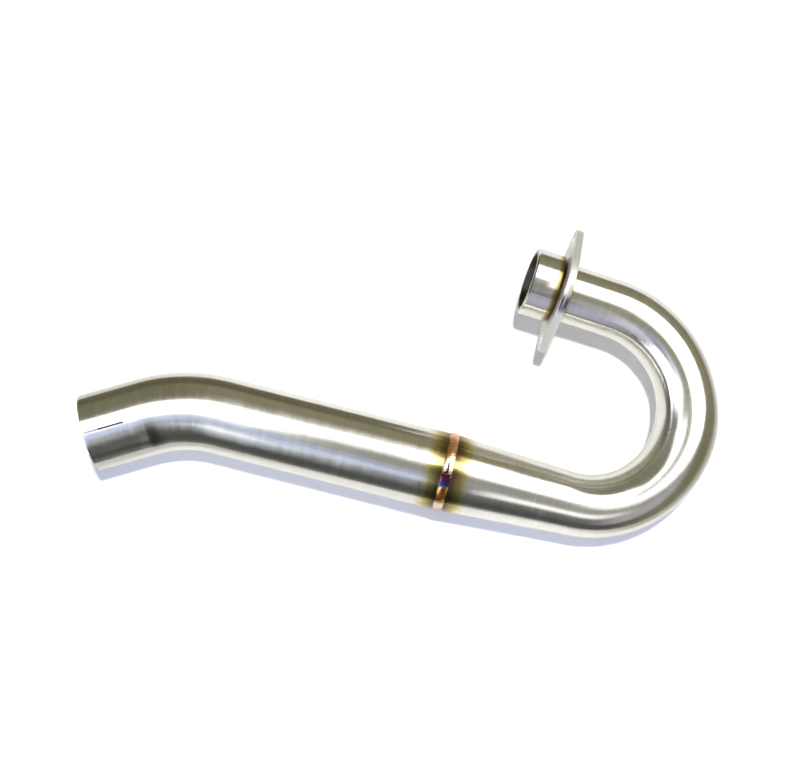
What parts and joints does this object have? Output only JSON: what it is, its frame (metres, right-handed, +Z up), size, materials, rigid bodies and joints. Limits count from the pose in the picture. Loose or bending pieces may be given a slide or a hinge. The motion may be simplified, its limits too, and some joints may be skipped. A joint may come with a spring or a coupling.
{
  "type": "motorcycle exhaust header",
  "caption": "J-shaped stainless exhaust header pipe with a turned port collar, a loose stud flange, a welded joint to a wider mid pipe and a slit rear end for a band clamp.",
  "frame": {"origin": "centre of the port face, where the collar's mouth meets the cylinder head", "axes": "+X follows the neck away from the port, level with the ground; +Z points up from the surface the header lies on; +Y completes the right-handed frame, away from the lower leg"},
  "size_m": [0.4032, 0.2432, 0.0606],
  "materials": {
    "tube_steel": "fine brushed stainless tube, heat tinted beside the welds",
    "weld_steel": "heat coloured weld bead",
    "collar_steel": "turned and polished",
    "flange_steel": "cut plate, satin"
  },
  "bodies": {
    "pipe": {"head_pipe": "tube_steel", "mid_pipe": "tube_steel", "joint_weld": "weld_steel", "port_collar": "collar_steel", "collar_weld": "weld_steel"},
    "flange": {"stud_flange": "flange_steel"}
  },
  "joints": [
    {"name": "flange_turn", "type": "hinge", "parent": "pipe", "child": "flange", "pos_m": [0.02257, 0, -0.00125], "axis": [0.9985, 0, -0.0552], "continuous": true}
  ]
}
